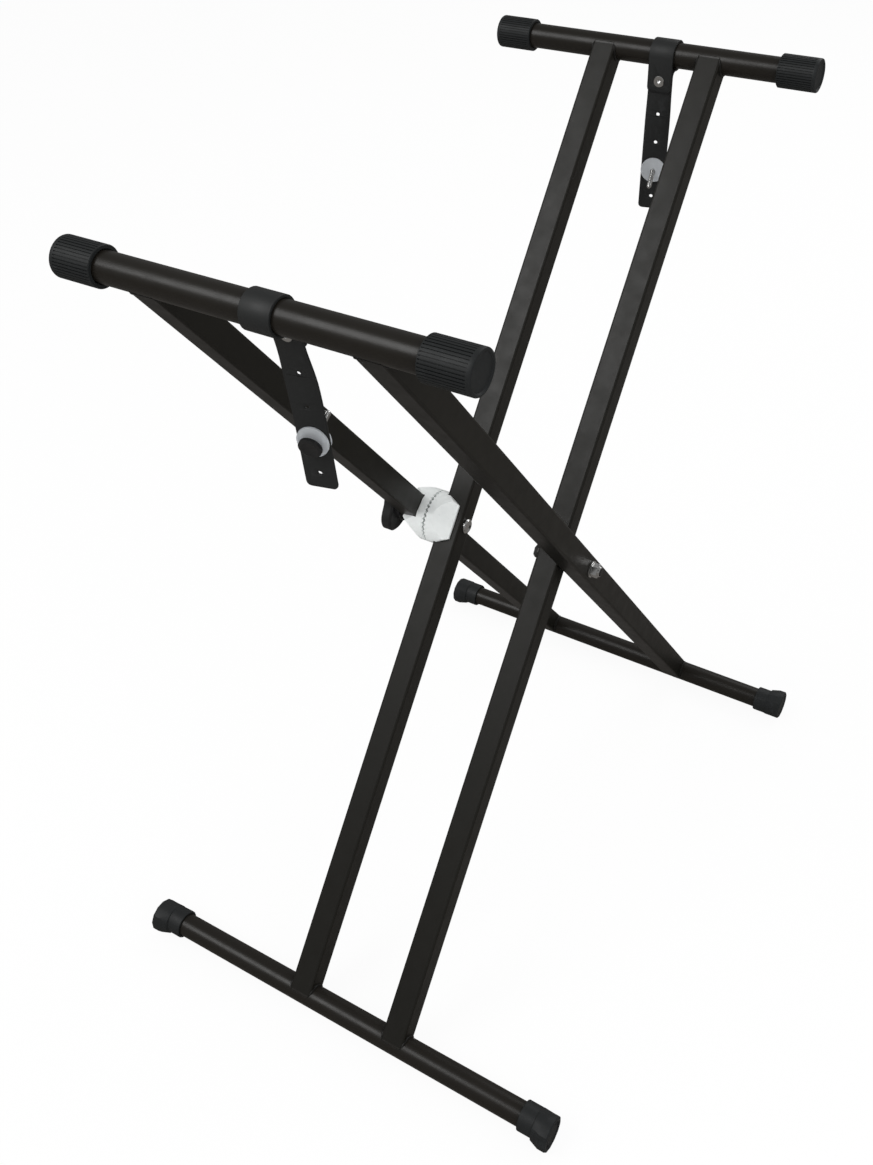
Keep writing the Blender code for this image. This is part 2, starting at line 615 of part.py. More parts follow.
def build_pivot(inner_follow, outer_follow):
    """The plain pivot between the right tubes: bolt, two washers, spacer and lock nut."""
    axis = (1, 0, 0)
    inner_washer_x = INNER_RIGHT_X - HALF_TUBE - GAP - WASHER_THICKNESS
    inner_washer = bored_ring("pivot_washer_inner", WASHER_RADIUS, HOLE_RADIUS, WASHER_THICKNESS, BRIGHT_METAL)
    hang(place(inner_washer, (inner_washer_x, 0, PIVOT_HEIGHT), axis, (0, 0, 1)), inner_follow)
    spacer = bored_ring("pivot_spacer", SPACER_RADIUS, HOLE_RADIUS, SPACER_THICKNESS, BLACK_PLASTIC)
    spacer_x = INNER_RIGHT_X + HALF_TUBE + GAP
    hang(place(spacer, (spacer_x, 0, PIVOT_HEIGHT), axis, (0, 0, 1)), inner_follow)
    outer_washer_x = OUTER_RIGHT_X + HALF_TUBE + GAP
    outer_washer = bored_ring("pivot_washer_outer", WASHER_RADIUS, HOLE_RADIUS, WASHER_THICKNESS, BRIGHT_METAL)
    hang(place(outer_washer, (outer_washer_x, 0, PIVOT_HEIGHT), axis, (0, 0, 1)), outer_follow)

    nut_x = outer_washer_x + WASHER_THICKNESS + GAP
    nut_end = NUT_HEIGHT + NUT_COLLAR_HEIGHT
    hexagon = flat_sided(6, NUT_APOTHEM)
    nut = loft("pivot_nut", [
        ring(FASTENER_STEPS, 0.0, hexagon),
        ring(FASTENER_STEPS, NUT_HEIGHT, hexagon),
        ring(FASTENER_STEPS, NUT_HEIGHT + GAP, NUT_COLLAR_RADIUS),
        ring(FASTENER_STEPS, nut_end - 3 * GAP, NUT_COLLAR_RADIUS),
        ring(FASTENER_STEPS, nut_end, NUT_COLLAR_RADIUS - 2 * GAP),
    ], BRIGHT_METAL)
    place(nut, (nut_x, 0, PIVOT_HEIGHT), axis, (0, 0, 1))
    nut_bore = cylinder("pivot_nut_bore", HOLE_RADIUS, 4 * nut_end)
    cut(nut, place(nut_bore, (nut_x, 0, PIVOT_HEIGHT), axis, (0, 0, 1)))
    hang(nut, outer_follow)

    head_x = inner_washer_x - GAP
    shank = nut_x + nut_end + BOLT_END_STANDOUT - head_x
    bolt = loft("pivot_bolt", [
        ring(FASTENER_STEPS, -PIVOT_HEAD_HEIGHT, flat_sided(6, NUT_APOTHEM - 2 * GAP)),
        ring(FASTENER_STEPS, GAP - PIVOT_HEAD_HEIGHT, hexagon),
        ring(FASTENER_STEPS, 0.0, hexagon),
        ring(FASTENER_STEPS, 0.0, BOLT_RADIUS),
        ring(FASTENER_STEPS, shank - GAP, BOLT_RADIUS),
        ring(FASTENER_STEPS, shank, BOLT_RADIUS - GAP),
    ], BRIGHT_METAL)
    hang(place(bolt, (head_x, 0, PIVOT_HEIGHT), axis, (0, 0, 1)), inner_follow)


class StrapPath:
    """The middle line of a strap in its bar's cross-section: u towards the stand's middle, w up."""

    def __init__(self, strap):
        self.strap = strap
        self.eyelet = 0.0
        self.points = []
        self.trace()
        self.lengths = [0.0]
        for first, second in zip(self.points, self.points[1:]):
            self.lengths.append(self.lengths[-1] + (second - first).length)
        join_at = self.lengths[self.join_index]
        self.eyelet = join_at + self.strap.eyelet_drop - self.join_drop
        self.total = self.eyelet + STRAP_TAIL_LENGTH

    def trace(self):
        """Runs from the flap's end over the bar, back under it to the eyelet, and down the tail."""
        strap = self.strap
        loop = BAR_RADIUS + GAP + STRAP_THICKNESS / 2
        line = loop - STRAP_THICKNESS - GAP
        self.join_drop = strap.eyelet_drop - EYELET_FLANGE_RADIUS + STRAP_THICKNESS / 2
        bend = Vector((line - STRAP_BEND_RADIUS, -self.join_drop))
        between = math.acos((loop + STRAP_BEND_RADIUS) / bend.length)
        leave = math.atan2(bend.y, bend.x) - between + math.tau
        flap_end = strap.eyelet_drop + STRAP_FLAP_BELOW_EYELET
        path = [Vector((loop, -flap_end * (1 - step / 8))) for step in range(8)]
        turns = 60
        path += [loop * Vector((math.cos(leave * step / turns), math.sin(leave * step / turns)))
                 for step in range(turns + 1)]
        meet = leave - math.pi
        path += [bend + STRAP_BEND_RADIUS * Vector((math.cos(meet * (1 - step / 12)), math.sin(meet * (1 - step / 12))))
                 for step in range(13)]
        self.join_index = len(path) - 1
        hold = Vector((line, -flap_end))
        path += [path[-1].lerp(hold, (step + 1) / 6) for step in range(6)]
        turn = Matrix.Rotation(strap.loop_turn, 2)
        path = [turn @ point for point in path]
        start = path[-1]
        finish = Vector(strap.tail_end)
        heading = (finish - start).length * 0.33
        leave_heading = Vector((math.sin(strap.loop_turn), -math.cos(strap.loop_turn)))
        end_heading = Vector((math.sin(strap.tail_end_angle), -math.cos(strap.tail_end_angle)))
        first = start + leave_heading * heading
        second = finish - end_heading * heading
        for step in range(1, 61):
            t = step / 60
            s = 1 - t
            path.append(start * s ** 3 + first * 3 * s * s * t + second * 3 * s * t * t + finish * t ** 3)
        path.append(finish + end_heading * STRAP_WIDTH)
        self.points = path

    def at(self, distance):
        """The point and the direction of travel at a distance from the flap's end."""
        index = 1
        while index < len(self.lengths) - 1 and self.lengths[index] < distance:
            index += 1
        start = self.points[index - 1]
        step = self.points[index] - start
        share = (distance - self.lengths[index - 1]) / (self.lengths[index] - self.lengths[index - 1])
        return start + step * share, step.normalized()

    def frame_at(self, distance):
        """World point, direction across the strap, direction along it and inward normal."""
        strap = self.strap
        point, along = self.at(distance)
        flap_end = strap.eyelet_drop + STRAP_FLAP_BELOW_EYELET
        first_hole = self.eyelet + STRAP_FIRST_HOLE
        free = self.eyelet + STRAP_FLAP_BELOW_EYELET
        share = min(1.0, max(0.0, (distance - free) / (first_hole + STRAP_HOLE_PITCH / 2 - free)))
        twist = strap.twist * share * share * (3 - 2 * share)
        drift = strap.side_drift * max(0.0, distance - free) / (self.total - free)
        side = Vector((1, 0, 0))
        bar = bar_centre(strap.frame, True)
        origin = Vector((strap.x + drift, bar.y + strap.inward * point.x, bar.z + point.y))
        tangent = Vector((0, strap.inward * along.x, along.y))
        normal = Vector((0, -strap.inward * along.y, along.x))
        across = side * math.cos(twist) + normal * math.sin(twist)
        inward = normal * math.cos(twist) - side * math.sin(twist)
        return origin, across, tangent, inward

    def stations(self):
        """Distances at which the strap has a row of points, close together where it bends."""
        corner = STRAP_CORNER
        rounding = [corner * (1 - math.cos(math.radians(degrees))) for degrees in (0, 30, 60, 90)]
        rows = list(rounding)
        rows += [self.lengths[index] for index in range(8, 69, 3)]
        rows += [self.lengths[index] for index in range(69, self.join_index + 1, 3)]
        steps = 18
        rows += [self.eyelet + (self.total - corner - self.eyelet) * step / steps for step in range(steps)]
        rows += [self.total - distance for distance in reversed(rounding)]
        return rows

    def half_width(self, distance):
        """Half of the strap's width, less near its two rounded ends."""
        depth = min(distance, self.total - distance, STRAP_CORNER)
        chord = math.sqrt(max(0.0, STRAP_CORNER ** 2 - (STRAP_CORNER - depth) ** 2))
        return STRAP_WIDTH / 2 - STRAP_CORNER + chord


def build_strap(strap, follow):
    """A rubber strap with its eyelet, thumb screw and soft washers."""
    path = StrapPath(strap)
    rows = path.stations()
    centre = bar_centre(strap.frame, True)
    bm = bmesh.new()
    bmesh.ops.create_grid(bm, x_segments=len(rows) - 1, y_segments=1, size=0.5)
    for vert in bm.verts:
        distance = rows[round((vert.co.x + 0.5) * (len(rows) - 1))]
        side = 1 if vert.co.y > 0 else -1
        origin, across, _, _ = path.frame_at(distance)
        vert.co = origin + across * side * path.half_width(distance) - centre
    mesh = bpy.data.meshes.new(f"{strap.name}_strap")
    bm.to_mesh(mesh)
    bm.free()
    mesh.shade_smooth()
    band = link(bpy.data.objects.new(f"{strap.name}_strap", mesh), STRAP_RUBBER)
    skin = band.modifiers.new("thickness", "SOLIDIFY")
    skin.thickness = STRAP_THICKNESS
    skin.offset = 0.0
    skin.use_even_offset = True
    band.location = centre
    hang(band, follow)

    origin, across, tangent, inward = path.frame_at(path.eyelet)
    lay = STRAP_THICKNESS + GAP
    middle = origin + inward * lay / 2
    barrel_hole = cylinder(f"{strap.name}_eyelet_hole", EYELET_BARREL_RADIUS + GAP, 4 * lay)
    cut(band, place(barrel_hole, middle, inward, across))
    build_eyelet(strap, middle, inward, across, follow)

    for index in range(STRAP_HOLE_COUNT):
        if index == STRAP_SCREW_HOLE:
            continue
        distance = path.eyelet + STRAP_FIRST_HOLE + index * STRAP_HOLE_PITCH
        origin, across, tangent, inward = path.frame_at(distance)
        hole = cylinder(f"{strap.name}_strap_hole_{index}", STRAP_HOLE_RADIUS, 3 * STRAP_THICKNESS, None, 16)
        cut(band, place(hole, origin, inward, across))
    build_thumb_screw(strap, path, band, follow)


def build_eyelet(strap, middle, inward, across, follow):
    """The metal eyelet that rivets the flap to the tail."""
    half = STRAP_THICKNESS + 1.5 * GAP
    outer = half + EYELET_FLANGE_THICKNESS
    round_over = EYELET_FLANGE_THICKNESS / 2
    profile = [
        (EYELET_FLANGE_RADIUS - round_over, outer), (EYELET_FLANGE_RADIUS, outer - round_over),
        (EYELET_FLANGE_RADIUS, half), (EYELET_BARREL_RADIUS, half), (EYELET_BARREL_RADIUS, -half),
        (EYELET_FLANGE_RADIUS, -half), (EYELET_FLANGE_RADIUS, round_over - outer),
        (EYELET_FLANGE_RADIUS - round_over, -outer), (EYELET_BORE_RADIUS + round_over, -outer),
        (EYELET_BORE_RADIUS, round_over - outer), (EYELET_BORE_RADIUS, outer - round_over),
        (EYELET_BORE_RADIUS + round_over, outer),
    ]
    eyelet = turned(f"{strap.name}_strap_eyelet", profile, BRIGHT_METAL)
    hang(place(eyelet, middle, inward, across), follow)


def screw_axis(strap, path):
    """Where a thumb screw crosses its strap's middle, its direction to the tip, and across the strap."""
    distance = path.eyelet + STRAP_FIRST_HOLE + STRAP_SCREW_HOLE * STRAP_HOLE_PITCH
    origin, across, tangent, inward = path.frame_at(distance)
    pointing = inward * math.cos(strap.screw_tilt) - tangent * math.sin(strap.screw_tilt)
    return origin, pointing, across, inward


def build_thumb_screw(strap, path, band, follow):
    """The screw through the strap with its round knob outside and a soft washer on each side."""
    origin, pointing, across, inward = screw_axis(strap, path)
    hole = cylinder(f"{strap.name}_screw_hole", SCREW_RADIUS + SCREW_CLEARANCE, SCREW_LENGTH)
    place(hole, origin, pointing, across)
    cut(band, hole)
    face = STRAP_THICKNESS / 2 + SOFT_WASHER_GAP
    for side, sign in (("inner", 1), ("outer", -1)):
        washer = cylinder(f"{strap.name}_strap_washer_{side}", SOFT_WASHER_RADIUS, SOFT_WASHER_THICKNESS,
                          CLEAR_PLASTIC, 32)
        place(washer, origin + inward * sign * (face + SOFT_WASHER_THICKNESS / 2), inward, across)
        cut(washer, hole)
        hang(washer, follow)

    tilt = abs(strap.screw_tilt)
    clear = face + SOFT_WASHER_THICKNESS + GAP
    stand_off = (clear + THUMB_KNOB_RADIUS * math.sin(tilt)) / math.cos(tilt)
    under = origin - pointing * stand_off
    edge = THUMB_KNOB_THICKNESS / 4
    socket = SCREW_RADIUS + GAP
    knob = turned(f"{strap.name}_strap_knob", [
        (0.0, THUMB_KNOB_THICKNESS), (THUMB_KNOB_RADIUS - edge, THUMB_KNOB_THICKNESS),
        (THUMB_KNOB_RADIUS, THUMB_KNOB_THICKNESS - edge), (THUMB_KNOB_RADIUS, edge / 2),
        (THUMB_KNOB_RADIUS - edge / 2, 0.0), (socket, 0.0), (socket, THUMB_KNOB_SOCKET), (0.0, THUMB_KNOB_SOCKET),
    ], BLACK_PLASTIC, 32, closed=False)
    place(knob, under, -pointing, across)
    shaft_length = SCREW_LENGTH + THUMB_KNOB_SOCKET - GAP
    tip = SCREW_RADIUS / 3
    screw = turned(f"{strap.name}_strap_screw", [
        (0.0, shaft_length), (SCREW_RADIUS - tip, shaft_length), (SCREW_RADIUS, shaft_length - tip),
        (SCREW_RADIUS, 0.0), (0.0, 0.0),
    ], BRIGHT_METAL, 20, closed=False)
    place(screw, under - pointing * (THUMB_KNOB_SOCKET - GAP), pointing, across)
    for piece in (knob, screw):
        hang(piece, follow)


def main():
    """Builds the whole stand."""
    start_scene()
    pivot = Vector((0, 0, PIVOT_HEIGHT))
    inner_follow = joint_empty("inner_frame_axis", pivot)
    outer_follow = joint_empty("outer_frame_axis", pivot)
    pivot_cutter = cylinder("pivot_hole", HOLE_RADIUS, OUTER_TUBE_SPACING * 2)
    place(pivot_cutter, pivot, (1, 0, 0), (0, 0, 1))
    for frame, follow in ((INNER, inner_follow), (OUTER, outer_follow)):
        build_tubes(frame, follow, pivot_cutter)
        build_bars(frame, follow)
        build_top_caps(frame, follow)
        build_foot_caps(frame, follow)
    build_clutch(inner_follow, outer_follow, pivot_cutter)
    build_pivot(inner_follow, outer_follow)
    for strap in (FRONT_STRAP, REAR_STRAP):
        swing = joint_empty(f"{strap.name}_strap_axis", bar_centre(strap.frame, True))
        build_strap(strap, swing)


main()
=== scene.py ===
"""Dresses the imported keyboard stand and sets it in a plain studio, seen from the photograph's angle."""
import json
import logging
import math
from dataclasses import dataclass, field
from enum import Enum
from typing import Callable, Iterable, Sequence

import bmesh
import bpy
from mathutils import Matrix, Vector


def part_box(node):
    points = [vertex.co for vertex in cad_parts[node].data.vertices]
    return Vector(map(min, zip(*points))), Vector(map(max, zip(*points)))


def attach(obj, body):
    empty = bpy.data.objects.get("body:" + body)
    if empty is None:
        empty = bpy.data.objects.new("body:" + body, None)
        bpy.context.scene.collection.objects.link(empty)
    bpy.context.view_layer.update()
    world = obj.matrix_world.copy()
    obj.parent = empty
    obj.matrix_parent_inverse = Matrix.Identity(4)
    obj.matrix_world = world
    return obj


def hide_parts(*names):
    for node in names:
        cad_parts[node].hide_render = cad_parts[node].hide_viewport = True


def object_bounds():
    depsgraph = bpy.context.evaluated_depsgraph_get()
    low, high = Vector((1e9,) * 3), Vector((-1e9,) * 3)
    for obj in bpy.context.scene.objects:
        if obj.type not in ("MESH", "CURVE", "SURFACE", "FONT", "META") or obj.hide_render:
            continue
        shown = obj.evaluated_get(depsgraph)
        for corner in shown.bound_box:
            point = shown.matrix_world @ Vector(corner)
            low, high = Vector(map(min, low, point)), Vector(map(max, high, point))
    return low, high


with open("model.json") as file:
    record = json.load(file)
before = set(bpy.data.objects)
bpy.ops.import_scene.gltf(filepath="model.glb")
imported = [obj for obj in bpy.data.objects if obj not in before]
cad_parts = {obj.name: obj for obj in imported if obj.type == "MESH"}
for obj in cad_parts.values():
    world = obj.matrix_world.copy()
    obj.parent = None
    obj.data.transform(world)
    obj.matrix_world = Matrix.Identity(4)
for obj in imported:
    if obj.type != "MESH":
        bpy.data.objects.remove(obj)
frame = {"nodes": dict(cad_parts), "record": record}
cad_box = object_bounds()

LOG = logging.getLogger("keyboard_stand")
X_AXIS = Vector((1.0, 0.0, 0.0))


class Side(Enum):
    """The two ends of a bar, as directions along X."""

    LEFT = -1
    RIGHT = 1


class Value:
    """A number in a shader, which takes part in Python sums by adding Math nodes."""

    def __init__(self, shader: "Shader", socket: bpy.types.NodeSocket) -> None:
        """Wraps an output socket of the shader."""
        self.shader = shader
        self.socket = socket

    def _sum(self, operation: str, first: object, second: object) -> "Value":
        """Adds one Math node on two numbers or wrapped sockets."""
        node = self.shader.add("ShaderNodeMath", {"operation": operation}, {0: first, 1: second})
        return Value(self.shader, node.outputs[0])

    def __add__(self, other: object) -> "Value":
        """self + other."""
        return self._sum("ADD", self, other)

    def __sub__(self, other: object) -> "Value":
        """self - other."""
        return self._sum("SUBTRACT", self, other)

    def __rsub__(self, other: object) -> "Value":
        """other - self."""
        return self._sum("SUBTRACT", other, self)

    def __mul__(self, other: object) -> "Value":
        """self * other."""
        return self._sum("MULTIPLY", self, other)

    __radd__ = __add__
    __rmul__ = __mul__


class Shader:
    """One material and the nodes that are added to it."""

    def __init__(self, name: str) -> None:
        """Starts a material with a Principled shader alone."""
        self.material = bpy.data.materials.new(name)
        self.material.use_nodes = True
        self.nodes = self.material.node_tree.nodes
        self.links = self.material.node_tree.links
        self.surface = self.nodes["Principled BSDF"]
        self.place = self.add("ShaderNodeTexCoord").outputs["Object"]

    def add(self, kind: str, settings: dict | None = None, inputs: dict | None = None) -> bpy.types.Node:
        """Adds a node.

        Args:
            kind: The node's type.
            settings: Attributes that are set first; "stops" fills a colour ramp.
            inputs: Values, wrapped values or sockets by the input's name or number.

        Returns:
            The new node.
        """
        node = self.nodes.new(kind)
        for key, value in (settings or {}).items():
            if key == "stops":
                for stop, (position, shade) in zip(node.color_ramp.elements, value):
                    stop.position = position
                    stop.color = (shade, shade, shade, 1.0)
            else:
                setattr(node, key, value)
        for key, value in (inputs or {}).items():
            self.feed(node.inputs[key], value)
        return node

    def feed(self, socket: bpy.types.NodeSocket, value: object) -> None:
        """Links a wrapped value or socket to an input, or sets the input's number."""
        if isinstance(value, Value):
            self.links.new(value.socket, socket)
        elif isinstance(value, bpy.types.NodeSocket):
            self.links.new(value, socket)
        else:
            socket.default_value = value

    def stretched(self, scale: Sequence[float]) -> bpy.types.NodeSocket:
        """Object coordinates, scaled along each axis."""
        return self.add("ShaderNodeMapping", {}, {"Vector": self.place, "Scale": scale}).outputs["Vector"]

    def noise(self, scale: float, detail: float = 3.0, vector: bpy.types.NodeSocket | None = None) -> Value:
        """A noise value from nought to one; scale is in features a metre."""
        settings = {"Vector": vector or self.place, "Scale": scale, "Detail": detail, "Roughness": 0.6}
        return Value(self, self.add("ShaderNodeTexNoise", {}, settings).outputs[0])

    def ramp(self, value: Value, low: float, high: float) -> Value:
        """Nought below low, one above high and smooth between."""
        node = self.add("ShaderNodeValToRGB", {"stops": ((low, 0.0), (high, 1.0))}, {"Fac": value})
        return Value(self, node.outputs["Color"])

    def mix(self, share: Value, first: object, second: object) -> bpy.types.NodeSocket:
        """A colour that goes from first to second with share."""
        node = self.add("ShaderNodeMix", {"data_type": "RGBA"}, {0: share, 6: first, 7: second})
        return node.outputs[2]


def shade(colour: Sequence[float], by: float) -> tuple[float, float, float, float]:
    """A colour made lighter or darker, with full alpha."""
    red, green, blue = (channel * by for channel in colour)
    return (red, green, blue, 1.0)


@dataclass(frozen=True)
class Finish:
    """A surface: its colour, gloss, the way both wander, its grain and its marks."""

    name: str
    colour: tuple[float, float, float]
    roughness: float
    metallic: float = 0.0
    mottle: float = 0.15
    mottle_scale: float = 22.0
    gloss_wander: float = 0.10
    grain_scale: float = 1500.0
    grain_depth: float = 0.00003
    mark_colour: tuple[float, float, float] = (0.12, 0.115, 0.11)
    mark_start: float = 0.66
    mark_share: float = 0.25
    mark_stretch: tuple[float, float, float] = (60.0, 60.0, 60.0)
    specular: float = 0.5
    transmission: float = 0.0
    subsurface: float = 0.0

    def material(self) -> bpy.types.Material:
        """Builds the finish's nodes, once, and returns the material."""
        found = bpy.data.materials.get(self.name)
        if found:
            return found
        shader = Shader(self.name)
        wander = shader.noise(self.mottle_scale, 4.0)
        body = shader.mix(wander, shade(self.colour, 1.0 - self.mottle), shade(self.colour, 1.0 + self.mottle))
        marks = shader.ramp(shader.noise(1.0, 5.0, shader.stretched(self.mark_stretch)), self.mark_start, 0.86)
        colour = shader.mix(marks * self.mark_share, body, shade(self.mark_colour, 1.0))
        gloss = shader.noise(self.mottle_scale * 3.0, 3.0)
        roughness = (gloss - 0.5) * (2.0 * self.gloss_wander) + self.roughness + marks * 0.08
        grain = shader.noise(self.grain_scale, 2.0)
        bump = shader.add("ShaderNodeBump", {}, {"Height": grain, "Strength": 0.6, "Distance": self.grain_depth})
        shader.feed(shader.surface.inputs["Base Color"], colour)
        shader.feed(shader.surface.inputs["Roughness"], roughness)
        shader.feed(shader.surface.inputs["Normal"], bump.outputs["Normal"])
        shader.surface.inputs["Metallic"].default_value = self.metallic
        shader.surface.inputs["Specular IOR Level"].default_value = self.specular
        shader.surface.inputs["Transmission Weight"].default_value = self.transmission
        shader.surface.inputs["Subsurface Weight"].default_value = self.subsurface
        return shader.material


TUBE_PAINT = Finish("satin_black_powder_coat", (0.0092, 0.0085, 0.0064), 0.40, mark_stretch=(160.0, 160.0, 9.0),
                    mark_colour=(0.024, 0.023, 0.020), grain_scale=1900.0, grain_depth=0.00004, specular=0.30)
BAR_PAINT = Finish("satin_black_bar_coat", (0.0118, 0.0100, 0.0078), 0.33, mark_stretch=(10.0, 190.0, 190.0),
                   mark_colour=(0.028, 0.025, 0.022), grain_scale=1900.0, grain_depth=0.00004, specular=0.32)
WELD_PAINT = Finish("painted_weld", (0.0080, 0.0075, 0.0066), 0.40, grain_scale=700.0, grain_depth=0.00012,
                    specular=0.30)
CAP_RUBBER = Finish("moulded_cap_rubber", (0.0125, 0.0140, 0.0145), 0.52, mottle=0.22, gloss_wander=0.12,
                    grain_scale=2600.0, grain_depth=0.00005, mark_colour=(0.055, 0.063, 0.068), mark_start=0.60,
                    mark_share=0.30, specular=0.34, mark_stretch=(120.0, 120.0, 120.0))
STRAP_RUBBER = Finish("matte_strap_rubber", (0.0120, 0.0130, 0.0130), 0.56, mottle=0.20, grain_scale=3000.0,
                      grain_depth=0.00006, mark_colour=(0.070, 0.074, 0.078), mark_start=0.62, mark_share=0.30,
                      mark_stretch=(90.0, 90.0, 40.0))
CAST_METAL = Finish("bare_casting", (0.90, 0.93, 0.92), 0.44, 0.15, mottle=0.07, mottle_scale=110.0,
                    gloss_wander=0.14, grain_scale=650.0, grain_depth=0.00012, mark_colour=(0.55, 0.57, 0.56),
                    mark_start=0.60, mark_share=0.4, mark_stretch=(260.0, 260.0, 260.0))
PLATED_STEEL = Finish("plated_steel", (0.80, 0.80, 0.79), 0.22, 1.0, mottle=0.06, mottle_scale=160.0,
                      gloss_wander=0.08, grain_scale=1200.0, grain_depth=0.00003,
                      mark_colour=(0.40, 0.40, 0.40), mark_share=0.4, mark_stretch=(380.0, 380.0, 380.0))
# Near-black metallic steel, used on the pivot bolt; it is dark all over.
DARK_STEEL = Finish("blackened_steel", (0.060, 0.059, 0.057), 0.38, 0.85, mottle=0.14, mottle_scale=140.0,
                    grain_scale=1200.0, grain_depth=0.00004, mark_colour=(0.16, 0.16, 0.155), mark_share=0.3,
                    mark_stretch=(300.0, 300.0, 300.0))
KNOB_PLASTIC = Finish("moulded_knob_plastic", (0.0110, 0.0110, 0.0112), 0.42, mottle=0.15, grain_scale=2200.0,
                      grain_depth=0.00004, mark_share=0.15)
CLOUDY_PLASTIC = Finish("cloudy_washer_plastic", (0.78, 0.81, 0.84), 0.38, mottle=0.06, mottle_scale=90.0,
                        grain_scale=900.0, grain_depth=0.00003, mark_colour=(0.60, 0.63, 0.66), mark_share=0.3,
                        transmission=0.55)
TURNED_BRASS = Finish("turned_brass", (0.58, 0.40, 0.16), 0.30, 1.0, mottle=0.10, mottle_scale=120.0,
                      mark_colour=(0.30, 0.20, 0.09), mark_share=0.4)


def active(piece: bpy.types.Object) -> None:
    """Makes a piece the only one that is selected, and the active one."""
    bpy.ops.object.select_all(action="DESELECT")
    piece.select_set(True)
    bpy.context.view_layer.objects.active = piece


def apply_place(piece: bpy.types.Object, at: Vector, z_axis: Vector, x_axis: Vector) -> None:
    """Moves a piece that was made at the origin to its place, and bakes the place into its mesh.

    Args:
        piece: The piece, made with its own axis along Z.
        at: Where its origin goes.
        z_axis: Where its Z points.
        x_axis: Roughly where its X points.
    """
    z = z_axis.normalized()
    x = (x_axis - z * x_axis.dot(z)).normalized()
    turn = Matrix((x, z.cross(x), z)).transposed().to_4x4()
    active(piece)
    piece.matrix_world = Matrix.Translation(at) @ turn
    bpy.ops.object.transform_apply(location=True, rotation=True, scale=True)


def smooth(piece: bpy.types.Object, degrees: float = 35.0) -> None:
    """Shades a piece smooth except at its sharp edges."""
    active(piece)
    bpy.ops.object.shade_smooth_by_angle(angle=math.radians(degrees))


def flatten_faces(piece: bpy.types.Object) -> None:
    """Lets large flat faces set the shading, so that only the rounded edges between them look round."""
    active(piece)
    modifier = piece.modifiers.new("flat_faces", "WEIGHTED_NORMAL")
    modifier.keep_sharp = True
    modifier.weight = 100
    bpy.ops.object.modifier_apply(modifier=modifier.name)


def bevel(piece: bpy.types.Object, width: float, segments: int = 2, degrees: float = 40.0) -> None:
    """Rounds a piece's sharp edges and applies the modifier."""
    active(piece)
    modifier = piece.modifiers.new("rounding", "BEVEL")
    modifier.width = width
    modifier.segments = segments
    modifier.limit_method = "ANGLE"
    modifier.angle_limit = math.radians(degrees)
    bpy.ops.object.modifier_apply(modifier=modifier.name)


def lathe(name: str, profile: Sequence[tuple[float, float]], segments: int, closed: bool) -> bpy.types.Object:
    """Extrudes a circle along Z through a profile, resizing it at each step.

    Args:
        name: The piece's name.
        profile: Radius and height of each ring.
        segments: Points round each ring.
        closed: True for a ring with a bore, whose profile comes back to its start.

    Returns:
        The piece, standing at the origin.
    """
    radius, height = profile[0]
    bpy.ops.object.select_all(action="DESELECT")
    bpy.ops.mesh.primitive_circle_add(vertices=segments, radius=radius, location=(0, 0, 0),
                                      fill_type="NOTHING" if closed else "NGON")
    piece = bpy.context.object
    piece.name = name
    bpy.ops.object.mode_set(mode="EDIT")
    bpy.ops.mesh.select_mode(type="VERT")
    bpy.ops.mesh.select_all(action="SELECT")
    bpy.ops.transform.translate(value=(0, 0, height))
    steps = [*profile[1:], profile[0]] if closed else profile[1:]
    for next_radius, next_height in steps:
        bpy.ops.mesh.extrude_region_move(TRANSFORM_OT_translate={"value": (0, 0, next_height - height)})
        share = next_radius / radius
        bpy.ops.transform.resize(value=(share, share, 1), center_override=(0, 0, next_height))
        radius, height = next_radius, next_height
    bpy.ops.mesh.select_all(action="SELECT")
    bpy.ops.mesh.remove_doubles(threshold=0.000001)
    bpy.ops.mesh.normals_make_consistent(inside=False)
    bpy.ops.object.mode_set(mode="OBJECT")
    return piece


def pick_faces(piece: bpy.types.Object, wanted: Callable[[bmesh.types.BMFace], bool]) -> None:
    """Selects, in edit mode, the faces for which wanted is true."""
    bpy.ops.mesh.select_all(action="DESELECT")
    bpy.ops.mesh.select_mode(type="FACE")
    mesh = bmesh.from_edit_mesh(piece.data)
    for face in mesh.faces:
        face.select_set(wanted(face))
    bmesh.update_edit_mesh(piece.data)


def swept(name: str, points: Iterable[Vector], radius: float, cyclic: bool,
          shares: Sequence[float] | None = None) -> bpy.types.Object:
    """A round bead or wire along points, turned into a mesh; shares scale its radius at each point."""
    curve = bpy.data.curves.new(name, "CURVE")
    curve.dimensions = "3D"
    curve.bevel_depth = radius
    curve.bevel_resolution = 2
    curve.use_fill_caps = True
    route = [Vector(point) for point in points]
    spline = curve.splines.new("POLY")
    spline.points.add(len(route) - 1)
    for point, place, share in zip(spline.points, route, shares or [1.0] * len(route)):
        point.co = (*place, 1.0)
        point.radius = share
    spline.use_cyclic_u = cyclic
    piece = bpy.data.objects.new(name, curve)
    bpy.context.scene.collection.objects.link(piece)
    active(piece)
    bpy.ops.object.convert(target="MESH")
    return bpy.context.object


def node_copy(node: str, name: str) -> bpy.types.Object:
    """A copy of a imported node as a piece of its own, with its loose triangles joined up."""
    source = frame["nodes"][node]
    piece = bpy.data.objects.new(name, source.data.copy())
    bpy.context.scene.collection.objects.link(piece)
    active(piece)
    bpy.ops.object.mode_set(mode="EDIT")
    bpy.ops.mesh.select_all(action="SELECT")
    bpy.ops.mesh.remove_doubles(threshold=0.000002)
    bpy.ops.mesh.tris_convert_to_quads(face_threshold=math.radians(1.0), shape_threshold=math.radians(60.0))
    bpy.ops.object.mode_set(mode="OBJECT")
    return piece


